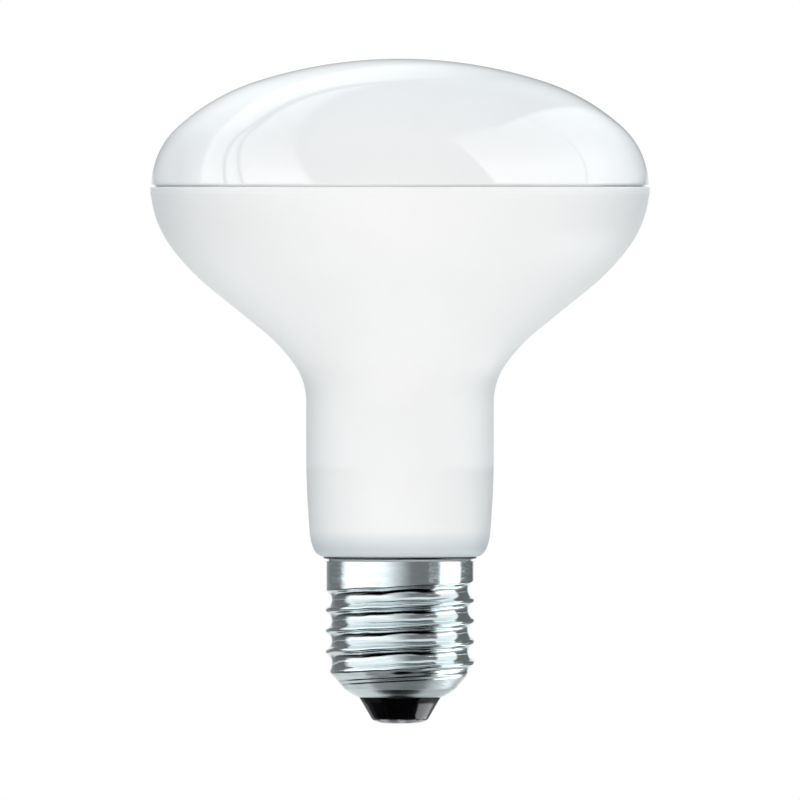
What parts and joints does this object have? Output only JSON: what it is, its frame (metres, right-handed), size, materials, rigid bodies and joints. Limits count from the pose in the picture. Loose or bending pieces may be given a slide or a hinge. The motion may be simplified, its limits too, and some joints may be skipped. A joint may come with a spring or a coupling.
{
  "type": "reflector bulb",
  "caption": "Reflector lamp with a shallow glossy dome, an S-curved satin white body, a long neck and a metal screw cap with a black insulator.",
  "frame": {"origin": "tip of the centre contact, on the axis of the cap", "axes": "+Z along the axis from the cap to the dome; +X and +Y square to it, with the lowest full crest of the thread on the +X side"},
  "size_m": [0.088, 0.088, 0.1172],
  "materials": {
    "dome_gloss": "glossy opal white",
    "body_satin": "satin white",
    "cap_metal": "bright rolled metal",
    "insulator_black": "opaque glossy black",
    "contact_metal": "tinned metal"
  },
  "bodies": {
    "root": {"diffuser_dome": "dome_gloss", "reflector_body": "body_satin", "screw_shell": "cap_metal", "cap_insulator": "insulator_black", "centre_contact": "contact_metal"}
  },
  "joints": []
}
